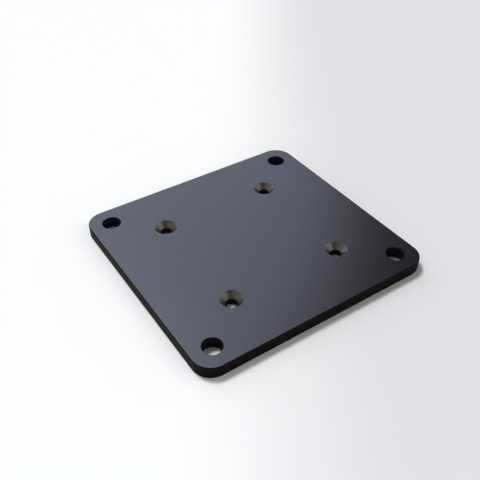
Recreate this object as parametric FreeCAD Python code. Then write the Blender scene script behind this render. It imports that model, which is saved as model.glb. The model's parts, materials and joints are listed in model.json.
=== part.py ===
"""Base plate: one flat plate with rounded corners, four plain holes near its
corners and four countersunk screw holes in a square about its centre.

X runs along the longer side and Y along the shorter one. The underside lies
on Z = 0, the countersinks open in the top face, and the origin is the centre
of the underside.
"""
import FreeCAD, Part
import math
import os

# Plate, in millimetres
PLATE_LENGTH = 120.0
PLATE_WIDTH = 114.0
PLATE_THICKNESS = 6.0
CORNER_RADIUS = 9.0
OUTLINE_EDGE_ROUND = 0.3

# Plain holes near the corners
CORNER_HOLE_DIAMETER = 8.8
CORNER_HOLE_TO_EDGE = 10.5

# Countersunk screw holes
SCREW_HOLE_DIAMETER = 5.3
SCREW_HOLE_SPACING = 58.0
COUNTERSINK_DIAMETER = 10.6
COUNTERSINK_ANGLE = 90.0

# Deburred hole rims: a narrow 45 degree break
RIM_BREAK = 0.2
RIM_BREAK_ANGLE = 90.0

# How far a cutter runs past the face it opens in
OVERRUN = 1.0

UP = FreeCAD.Vector(0, 0, 1)
DOWN = FreeCAD.Vector(0, 0, -1)


def rounded_outline(length, width, radius):
    """Wire of a rectangle about the origin with its corners rounded: four sides and four quarter arcs."""
    diagonal = radius * math.sqrt(0.5)
    edges = []
    for quarter in range(4):
        turn = FreeCAD.Rotation(UP, 90.0 * quarter)
        across, along = (length, width) if quarter % 2 == 0 else (width, length)
        centre = FreeCAD.Vector(across / 2 - radius, along / 2 - radius, 0)
        start = centre + FreeCAD.Vector(radius, 0, 0)
        middle = centre + FreeCAD.Vector(diagonal, diagonal, 0)
        end = centre + FreeCAD.Vector(0, radius, 0)
        next_start = FreeCAD.Vector(radius - across / 2, along / 2, 0)
        arc = Part.Arc(turn.multVec(start), turn.multVec(middle), turn.multVec(end))
        side = Part.LineSegment(turn.multVec(end), turn.multVec(next_start))
        edges += [arc.toShape(), side.toShape()]
    return Part.Wire(edges)


def lies_flat(edge):
    """True for an edge that runs in the plane of the top face or of the underside."""
    return edge.BoundBox.ZLength < OUTLINE_EDGE_ROUND / 2


def plate_blank():
    """The plate before drilling, with the edges round its top face and underside rounded."""
    outline = rounded_outline(PLATE_LENGTH, PLATE_WIDTH, CORNER_RADIUS)
    slab = Part.Face(outline).extrude(UP * PLATE_THICKNESS)
    rim_edges = [edge for edge in slab.Edges if lies_flat(edge)]
    return slab.makeFillet(OUTLINE_EDGE_ROUND, rim_edges)


def drill(x, y, diameter):
    """Cylinder that passes right through the plate at x, y."""
    height = PLATE_THICKNESS + 2 * OVERRUN
    return Part.makeCylinder(diameter / 2, height, FreeCAD.Vector(x, y, -OVERRUN))


def sink(x, y, hole_diameter, face_diameter, angle, direction):
    """Cone that widens a hole to face_diameter at the face that direction points out of."""
    slope = math.tan(math.radians(angle / 2))
    depth = (face_diameter - hole_diameter) / 2 / slope
    face_z = PLATE_THICKNESS if direction.z > 0 else 0.0
    foot = FreeCAD.Vector(x, y, face_z) - direction * depth
    mouth_radius = face_diameter / 2 + OVERRUN * slope
    return Part.makeCone(hole_diameter / 2, mouth_radius, depth + OVERRUN, foot, direction)


def rim_break(x, y, hole_diameter, direction):
    """Narrow bevel that takes the burr off a hole's rim."""
    face_diameter = hole_diameter + 2 * RIM_BREAK
    return sink(x, y, hole_diameter, face_diameter, RIM_BREAK_ANGLE, direction)


def rectangle_corners(spacing_x, spacing_y):
    """The four corners of a rectangle about the origin."""
    return [(sx * spacing_x / 2, sy * spacing_y / 2) for sx in (-1, 1) for sy in (-1, 1)]


def corner_hole_cutters():
    """Plain through holes, broken at both rims."""
    spacing_x = PLATE_LENGTH - 2 * CORNER_HOLE_TO_EDGE
    spacing_y = PLATE_WIDTH - 2 * CORNER_HOLE_TO_EDGE
    cutters = []
    for x, y in rectangle_corners(spacing_x, spacing_y):
        cutters.append(drill(x, y, CORNER_HOLE_DIAMETER))
        cutters.append(rim_break(x, y, CORNER_HOLE_DIAMETER, UP))
        cutters.append(rim_break(x, y, CORNER_HOLE_DIAMETER, DOWN))
    return cutters


def screw_hole_cutters():
    """Through holes, countersunk from the top face and broken at the underside."""
    cutters = []
    for x, y in rectangle_corners(SCREW_HOLE_SPACING, SCREW_HOLE_SPACING):
        cutters.append(drill(x, y, SCREW_HOLE_DIAMETER))
        cutters.append(
            sink(x, y, SCREW_HOLE_DIAMETER, COUNTERSINK_DIAMETER, COUNTERSINK_ANGLE, UP)
        )
        cutters.append(rim_break(x, y, SCREW_HOLE_DIAMETER, DOWN))
    return cutters


def base_plate():
    """The finished plate: the blank with every hole cut."""
    return plate_blank().cut(corner_hole_cutters() + screw_hole_cutters())


os.makedirs("parts", exist_ok=True)
base_plate().exportStep("parts/base_plate.step")
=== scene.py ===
import json
import math

import bpy
import numpy as np
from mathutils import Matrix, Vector
from mathutils.geometry import tessellate_polygon


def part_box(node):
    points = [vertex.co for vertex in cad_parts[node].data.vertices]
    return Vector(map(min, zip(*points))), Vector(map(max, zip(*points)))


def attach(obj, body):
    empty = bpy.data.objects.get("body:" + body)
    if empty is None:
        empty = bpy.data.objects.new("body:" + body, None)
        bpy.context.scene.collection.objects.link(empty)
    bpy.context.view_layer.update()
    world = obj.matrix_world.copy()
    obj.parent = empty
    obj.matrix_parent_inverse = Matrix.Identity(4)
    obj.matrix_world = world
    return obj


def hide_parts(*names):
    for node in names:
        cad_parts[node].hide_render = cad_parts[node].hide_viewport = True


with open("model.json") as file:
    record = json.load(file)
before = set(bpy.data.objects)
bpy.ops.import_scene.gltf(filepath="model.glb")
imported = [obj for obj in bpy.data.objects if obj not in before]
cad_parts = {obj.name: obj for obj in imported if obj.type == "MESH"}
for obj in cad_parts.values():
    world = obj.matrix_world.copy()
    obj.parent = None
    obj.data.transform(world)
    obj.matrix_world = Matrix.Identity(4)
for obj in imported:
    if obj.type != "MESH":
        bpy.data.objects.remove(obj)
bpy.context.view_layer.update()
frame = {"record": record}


# The plate is one blank of 6 mm aluminium. Its outline is milled with rounded corners, it
# is drilled and countersunk from the top face, its edges are broken and it is anodised
# black. It is the whole object, and it lies loose on its underside.
MM = 0.001
CORNER_RADIUS = 9.0 * MM
EDGE_ROUND = 0.3 * MM
RIM_BREAK = 0.2 * MM
SINK_RADIUS = 5.3 * MM
SINK_HALF_ANGLE = math.radians(45)
CORNER_STEPS = 32
EDGE_STEPS = 6
HOLE_STEPS = 128
SHARP_ANGLE = math.radians(30)

FACE_BLACK = (0.006, 0.0058, 0.006, 1)
FACE_SHEEN = (0.79, 0.805, 1.0, 1)
MILLED_BLACK = (0.0068, 0.0056, 0.0048, 1)
# The drilled walls' black is the milled walls' black painted lighter and bluer. It is painted light that
# stands in for light reaching the walls inside the holes.
DRILLED_BLACK_PAINTED_LIGHTER = (0.013, 0.014, 0.02, 1)
SINK_BRONZE = (0.15, 0.143, 0.141, 1)

plate_low, plate_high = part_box("base_plate")
length, width, thickness = plate_high - plate_low
mounts = {mount["name"]: mount["dims"] for mount in frame["record"]["mounts"]}


def rounded_rectangle(across, along, radius, steps):
    """Loop round a rectangle, counter-clockwise, with its outward directions.

    Each point is its corner's centre plus the radius times the unit vector at an angle that
    runs through one quarter turn per corner. The straight sides join the quarters.
    """
    quarter = np.repeat(np.arange(4), steps + 1)
    angle = (quarter + np.tile(np.linspace(0, 1, steps + 1), 4)) * math.pi / 2
    outward = np.stack([np.cos(angle), np.sin(angle)], axis=1)
    side_x = np.array([1, -1, -1, 1])[quarter]
    side_y = np.array([1, 1, -1, -1])[quarter]
    centre = np.stack([side_x, side_y], axis=1) * (np.array([across, along]) / 2 - radius)
    return centre + radius * outward, outward


def hole_circle(x, y, radius, steps):
    """Loop round a hole, clockwise, with directions out of the metal, which point at its axis.

    Each point is the centre plus the radius times the unit vector at an angle that runs
    backwards through one full turn.
    """
    angle = -2 * math.pi * np.arange(steps) / steps
    spoke = np.stack([np.cos(angle), np.sin(angle)], axis=1)
    return np.array([x, y]) + radius * spoke, -spoke


def wall(loop, profile):
    """Grid of points: a loop carried down a profile.

    Each row is the loop, moved along its outward directions by the offset of one point of
    the profile, at the height of that point.
    """
    line, outward = loop
    offset, height = np.array(profile).T
    flat = line[None] + offset[:, None, None] * outward[None]
    tall = np.broadcast_to(height[:, None, None], flat.shape[:2] + (1,))
    return np.concatenate([flat, tall], axis=2)


def outline_profile():
    """Edge of the plate from the top face to the underside: round, straight wall, round.

    Over a quarter turn, the offset is the rounding times the sine less one, and the drop
    from the face is the rounding times one less the cosine.
    """
    turn = np.linspace(0, math.pi / 2, EDGE_STEPS + 1)
    offset = EDGE_ROUND * (np.sin(turn) - 1)
    drop = EDGE_ROUND * (1 - np.cos(turn))
    upper = np.stack([offset, thickness - drop], axis=1)
    lower = np.stack([offset, drop], axis=1)[::-1]
    return np.concatenate([upper, lower])


def hole_profile(mouth_offset, mouth_depth):
    """Hole from the top face to the underside: a cone, a straight wall and a narrow bevel.

    Each point is an offset towards the axis, negative where the hole is wider, and a height.
    """
    return [
        (-mouth_offset, thickness),
        (0, thickness - mouth_depth),
        (0, RIM_BREAK),
        (-RIM_BREAK, 0),
    ]


def pattern(name):
    """Centres of a mount's four holes: plus and minus half its spacing along X and along Y."""
    x = mounts[name]["spacing_x_mm"] / 2 * MM
    y = mounts[name]["spacing_y_mm"] / 2 * MM
    return [(-x, -y), (x, -y), (-x, y), (x, y)]


corner_hole_radius = mounts["corner_holes"]["hole_r_mm"] * MM
screw_hole_radius = mounts["screw_holes"]["hole_r_mm"] * MM
sink_reach = SINK_RADIUS - screw_hole_radius
sink_depth = sink_reach / math.tan(SINK_HALF_ANGLE)
plain_profile = hole_profile(RIM_BREAK, RIM_BREAK)
sunk_profile = hole_profile(sink_reach, sink_depth)

outline = rounded_rectangle(length, width, CORNER_RADIUS, CORNER_STEPS)
walls = [wall(outline, outline_profile())]
for x, y in pattern("corner_holes"):
    walls.append(wall(hole_circle(x, y, corner_hole_radius, HOLE_STEPS), plain_profile))
first_sink = len(walls)
for x, y in pattern("screw_holes"):
    walls.append(wall(hole_circle(x, y, screw_hole_radius, HOLE_STEPS), sunk_profile))

points = np.concatenate([grid.reshape(-1, 3) for grid in walls])
sizes = [grid.shape[:2] for grid in walls]
starts = np.cumsum([0] + [rows * columns for rows, columns in sizes])[:-1]
last_rows = [start + (rows - 1) * columns for start, (rows, columns) in zip(starts, sizes)]


def wall_faces(rows, columns, start):
    """Quads of a grid that closes on itself and whose points are numbered from start.

    Each quad joins a point, the one below it and the same two of the next column. After the
    last column comes the first.
    """
    row, column = np.meshgrid(np.arange(rows - 1), np.arange(columns), indexing="ij")
    after = (column + 1) % columns
    upper, lower = row * columns, (row + 1) * columns
    corners = [upper + column, lower + column, lower + after, upper + after]
    return start + np.stack(corners, axis=-1).reshape(-1, 4)


def flat_face(firsts, row, up):
    """Triangles that fill a flat face between the outline's rim and the holes' rims.

    Rims are the walls' rows of that number, and firsts numbers the first point of each. A
    triangle is turned round where the cross product of its sides looks away from the face.
    """
    rims = [grid[row] for grid in walls]
    numbers = np.concatenate([first + np.arange(len(rim)) for first, rim in zip(firsts, rims)])
    triangles = numbers[np.array(tessellate_polygon([rim.tolist() for rim in rims]))]
    a, b, c = (points[triangles[:, k]] for k in range(3))
    wrong = (np.cross(b - a, c - a)[:, 2] > 0) != up
    triangles[wrong] = triangles[wrong][:, ::-1]
    return triangles


quads = [wall_faces(rows, columns, start) for start, (rows, columns) in zip(starts, sizes)]
top = flat_face(starts, 0, True)
bottom = flat_face(last_rows, -1, False)

FACE, EDGE, BORE, SINK = range(4)
finishes = [np.full(len(top) + len(bottom), FACE), np.full(len(quads[0]), EDGE)]
for number in range(1, len(walls)):
    finish = np.full(len(quads[number]), BORE)
    if number >= first_sink:
        finish[:HOLE_STEPS] = SINK
    finishes.append(finish)

mesh = bpy.data.meshes.new("anodised_plate")
all_faces = top.tolist() + bottom.tolist() + np.concatenate(quads).tolist()
mesh.from_pydata(points.tolist(), [], all_faces)
mesh.polygons.foreach_set("material_index", np.concatenate(finishes).astype(np.int32))
mesh.shade_smooth()
mesh.set_sharp_from_angle(angle=SHARP_ANGLE)
mesh.validate()
plate = bpy.data.objects.new("anodised_plate", mesh)
bpy.context.scene.collection.objects.link(plate)
weighted = plate.modifiers.new("flat faces stay flat", "WEIGHTED_NORMAL")
weighted.keep_sharp = True


class Signal:
    """A shader socket that sums can be written with. Each operator adds one Math node."""

    def __init__(self, tree, socket=None):
        self.tree = tree
        self.socket = socket

    def node(self, kind, settings=None, inputs=None, output=0):
        """Adds a node and gives one of its outputs.

        The settings are made first. Then each input gets a value or a link from a Signal.
        """
        made = self.tree.nodes.new(kind)
        for name, value in (settings or {}).items():
            setattr(made, name, value)
        for name, value in (inputs or {}).items():
            put(value, made.inputs[name])
        return Signal(self.tree, made.outputs[output])

    def number(self, operation, other):
        """Math node on this Signal and the other."""
        return self.node("ShaderNodeMath", {"operation": operation}, {0: self, 1: other})

    def vector(self, operation, *others, output=0):
        """Vector Math node on this Signal and the others."""
        inputs = dict(enumerate((self, *others)))
        return self.node("ShaderNodeVectorMath", {"operation": operation}, inputs, output)

    def __add__(self, other):
        return self.number("ADD", other)

    def __mul__(self, other):
        return self.number("MULTIPLY", other)

    __radd__ = __add__
    __rmul__ = __mul__


def put(value, socket):
    """Links a Signal to a socket, or writes a plain value on it."""
    if isinstance(value, Signal):
        value.tree.links.new(value.socket, socket)
    else:
        socket.default_value = value


def new_material(name):
    """A material, its surface node and a Signal of its Object coordinates to start sums from."""
    material = bpy.data.materials.new(name)
    material.use_nodes = True
    tree = material.node_tree
    place = Signal(tree).node("ShaderNodeTexCoord", output="Object")
    return material, tree.nodes["Principled BSDF"], place


def noise(place, scale, detail):
    """Noise from nothing to one. Its lumps are about one over the scale wide."""
    return place.node("ShaderNodeTexNoise", inputs={"Vector": place, "Scale": scale, "Detail": detail})


def bump(height, strength, distance):
    """Surface that rises and falls by a share of the height times the distance."""
    inputs = {"Height": height, "Strength": strength, "Distance": distance}
    return height.node("ShaderNodeBump", inputs=inputs)


def feed(shader, **values):
    """Sets or links the shader's sockets, named with underscores for spaces."""
    for name, value in values.items():
        put(value, shader.inputs[name.replace("_", " ")])


def anodised_face():
    """Satin black oxide on the two flat faces.

    The roughness is a base value plus a share of a wide cloud of noise and a share of a
    fine grain. The grain alone is the bump's height.
    """
    material, shader, place = new_material("satin black anodising")
    cloud = noise(place, 38.0, 3.0)
    grain = noise(place, 2600.0, 2.0)
    feed(shader, Base_Color=FACE_BLACK, IOR=2.04, Specular_Tint=FACE_SHEEN,
         Roughness=0.19 + 0.06 * cloud + 0.04 * grain, Normal=bump(grain, 0.12, 0.04 * MM))
    return material


def anodised_wall(name, colour):
    """Matt black oxide on a cut wall.

    The roughness is a base value plus a share of a fine grain, which is the bump's height.
    """
    material, shader, place = new_material(name)
    grain = noise(place, 1800.0, 3.0)
    feed(shader, Base_Color=colour, Specular_IOR_Level=0.03,
         Roughness=0.5 + 0.1 * grain, Normal=bump(grain, 0.2, 0.05 * MM))
    return material


def machined_sink():
    """Oxide over the turned cones, browner and shinier than on the faces.

    The cutter leaves fine rings, which are noise squeezed flat along Z, and a slight
    chatter, which is noise on the unit vector from each cone's axis. The four axes fold
    onto one where X and Y lose their signs. The bump's height is the chatter plus a share
    of the rings, and the roughness is a base value plus a share of a grain.
    """
    material, shader, place = new_material("bronze black anodising")
    grain = noise(place, 900.0, 3.0)
    squeezed = place.vector("MULTIPLY", (0.08, 0.08, 1.0))
    rings = noise(squeezed, 5200.0, 1.0)
    sink_axis = (*pattern("screw_holes")[3], 0.0)
    from_axis = place.vector("ABSOLUTE").vector("SUBTRACT", sink_axis)
    spoke = from_axis.vector("MULTIPLY", (1.0, 1.0, 0.0)).vector("NORMALIZE")
    chatter = noise(spoke, 3.4, 1.0)
    feed(shader, Base_Color=SINK_BRONZE, Metallic=1.0,
         Roughness=0.3 + 0.1 * grain, Normal=bump(chatter + 0.16 * rings, 1.0, 0.12 * MM))
    return material


mesh.materials.append(anodised_face())
mesh.materials.append(anodised_wall("matt black anodising, milled", MILLED_BLACK))
# The hole walls get the matt black with painted light: lighter and bluer, for light inside the holes.
mesh.materials.append(anodised_wall("matt black anodising, drilled, painted lighter", DRILLED_BLACK_PAINTED_LIGHTER))
mesh.materials.append(machined_sink())

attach(plate, "root")
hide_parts("base_plate")


# The floor is a pale sheet of card that the plate lies on. It is level round the
# plate and sweeps up on all sides further out, so it has no edge in any view. Its colour is
# painted light falloff: white on the camera's left, fading to pale grey on the right.
FLOOR_DROP = 0.02 * MM
LEVEL_RADIUS = 0.6
SWEEP_RADIUS = 1.6
SWEEP_RISE = 0.45
SWEEP_RINGS = 40
SWEEP_SPOKES = 96
# White and pale grey of the card's painted light falloff: white where the floor is lit most, grey where the
# light is weaker.
PAINTED_LIT_WHITE = (0.935, 0.95, 0.96, 1)
PAINTED_FALLOFF_GREY = (0.735, 0.73, 0.757, 1)
ACROSS = (0.82, -0.57, 0.0)
PAINTED_FALLOFF_START, PAINTED_FALLOFF_END = -30 * MM, 60 * MM


def sweep_sheet():
    """Round sheet on rings and spokes, with a fan from its middle point to the first ring.

    Its height is a constant up to the level radius. From there it is the rise times the
    square of the share of the way out to the rim.
    """
    sweep = np.linspace(LEVEL_RADIUS, SWEEP_RADIUS, SWEEP_RINGS)
    radius = np.concatenate([[LEVEL_RADIUS / 2], sweep])
    share = np.clip((radius - LEVEL_RADIUS) / (SWEEP_RADIUS - LEVEL_RADIUS), 0, 1)
    height = SWEEP_RISE * share ** 2 - FLOOR_DROP
    angle = 2 * math.pi * np.arange(SWEEP_SPOKES) / SWEEP_SPOKES
    ring, spoke = np.meshgrid(np.arange(len(radius)), angle, indexing="ij")
    flat_x, flat_y = radius[ring] * np.cos(spoke), radius[ring] * np.sin(spoke)
    grid = np.stack([flat_x, flat_y, height[ring]], axis=-1)
    first_ring = 1 + np.arange(SWEEP_SPOKES)
    fan = np.stack([np.zeros_like(first_ring), first_ring, np.roll(first_ring, -1)], axis=1)
    sheet_points = np.concatenate([[[0.0, 0.0, -FLOOR_DROP]], grid.reshape(-1, 3)])
    return sheet_points, fan.tolist() + wall_faces(len(radius), SWEEP_SPOKES, 1).tolist()


floor_points, floor_faces = sweep_sheet()
floor_mesh = bpy.data.meshes.new("floor")
floor_mesh.from_pydata(floor_points.tolist(), [], floor_faces)
floor_mesh.shade_smooth()
floor = bpy.data.objects.new("floor", floor_mesh)
bpy.context.scene.collection.objects.link(floor)

card, card_shader, card_place = new_material("pale card with painted light falloff")
# Painted light falloff: the card's colour fades from the white to the grey across the view, standing in for
# light that weakens across the floor.
way_across = card_place.vector("DOT_PRODUCT", ACROSS, output="Value")
painted_falloff = way_across.node("ShaderNodeMapRange", {"interpolation_type": "SMOOTHSTEP"},
                       {"Value": way_across, "From Min": PAINTED_FALLOFF_START, "From Max": PAINTED_FALLOFF_END})
painted_falloff_colour = painted_falloff.node("ShaderNodeMix", {"data_type": "RGBA"}, {0: painted_falloff, 6: PAINTED_LIT_WHITE, 7: PAINTED_FALLOFF_GREY}, 2)
feed(card_shader, Base_Color=painted_falloff_colour, Roughness=0.95, Specular_IOR_Level=0.0)
floor_mesh.materials.append(card)


# The light is a soft lamp behind the plate, high up, a panel below it that the top face
# mirrors, a fill to the right in front and a small low one behind on the left, in a room that
# is brighter on the left. The camera stands over the plate's nearest corner.
CAMERA_PLACE = Vector((-131.1, -188.6, 199.7)) * MM
CAMERA_AIM = Vector((-4.57, 1.12, 6.0)) * MM
CAMERA_LENS = 47.56
CAMERA_CLIP = 10 * MM
LAMP_AZIMUTH, LAMP_HEIGHT = math.radians(-8), math.radians(62)
LAMP_SPREAD = math.radians(17)
LAMP_STRENGTH = 2.04
PANEL_AZIMUTH, PANEL_HEIGHT = math.radians(12.8), math.radians(33)
PANEL_EDGE = (math.cos(math.radians(30)), math.cos(math.radians(24)))
PANEL_GLOW = 1.0
FILL_AZIMUTH, FILL_HEIGHT = math.radians(124), math.radians(26)
FILL_EDGE = (math.cos(math.radians(48)), math.cos(math.radians(24)))
FILL_GLOW = 0.9
LOW_AZIMUTH, LOW_HEIGHT = math.radians(-18), math.radians(14)
LOW_EDGE = (math.cos(math.radians(24)), math.cos(math.radians(14)))
LOW_GLOW = 0.85
ROOM_AZIMUTH, ROOM_HEIGHT = math.radians(287), 0.0
ROOM_EDGE = (-0.43, 0.9)
ROOM_GLOW = 0.42
DARK_GLOW = 0.03
COOL = (0.86, 0.88, 1.0)
WARM = (1.0, 0.95, 0.86)
PLAIN = (1.0, 1.0, 1.0)


def towards(azimuth, height):
    """Unit vector to a place in the sky. The azimuth runs from +Y towards +X.

    X and Y are the sine and the cosine of the azimuth times the cosine of the height, and
    Z is the sine of the height.
    """
    level = math.cos(height)
    return Vector((level * math.sin(azimuth), level * math.cos(azimuth), math.sin(height)))


world = bpy.data.worlds.new("soft studio")
world.use_nodes = True
bpy.context.scene.world = world
direction = Signal(world.node_tree).node("ShaderNodeTexCoord", output="Generated")


def glow(azimuth, height, edge, top):
    """Brightness of one part of the sky: top round the place at azimuth and height.

    It rises as a smooth step from nothing to top between the edge's two values of the
    cosine of the angle from that place.
    """
    nearness = direction.vector("DOT_PRODUCT", towards(azimuth, height), output="Value")
    return nearness.node("ShaderNodeMapRange", {"interpolation_type": "SMOOTHSTEP"},
                         {"Value": nearness, "From Min": edge[0], "From Max": edge[1], "To Max": top})


def tinted(colour, brightness):
    """Light of one colour: the colour times the brightness."""
    return brightness.node("ShaderNodeVectorMath", {"operation": "SCALE"}, {0: colour, "Scale": brightness})


panel = glow(PANEL_AZIMUTH, PANEL_HEIGHT, PANEL_EDGE, PANEL_GLOW)
fill = glow(FILL_AZIMUTH, FILL_HEIGHT, FILL_EDGE, FILL_GLOW)
low = glow(LOW_AZIMUTH, LOW_HEIGHT, LOW_EDGE, LOW_GLOW)
room = glow(ROOM_AZIMUTH, ROOM_HEIGHT, ROOM_EDGE, ROOM_GLOW)
sky = tinted(COOL, low + panel).vector("ADD", tinted(WARM, fill))
sky = sky.vector("ADD", tinted(PLAIN, DARK_GLOW + room))
put(sky, world.node_tree.nodes["Background"].inputs["Color"])

lamp = bpy.data.objects.new("lamp", bpy.data.lights.new("lamp", "SUN"))
bpy.context.scene.collection.objects.link(lamp)
lamp.data.angle = LAMP_SPREAD
lamp.data.energy = LAMP_STRENGTH
lamp.rotation_euler = towards(LAMP_AZIMUTH, LAMP_HEIGHT).to_track_quat("Z", "Y").to_euler()

camera = bpy.data.objects.new("camera", bpy.data.cameras.new("camera"))
bpy.context.scene.collection.objects.link(camera)
camera.data.lens = CAMERA_LENS
camera.data.clip_start = CAMERA_CLIP
camera.location = CAMERA_PLACE
camera.rotation_euler = (CAMERA_AIM - CAMERA_PLACE).to_track_quat("-Z", "Y").to_euler()
bpy.context.scene.camera = camera
bpy.context.scene.view_settings.view_transform = "Standard"
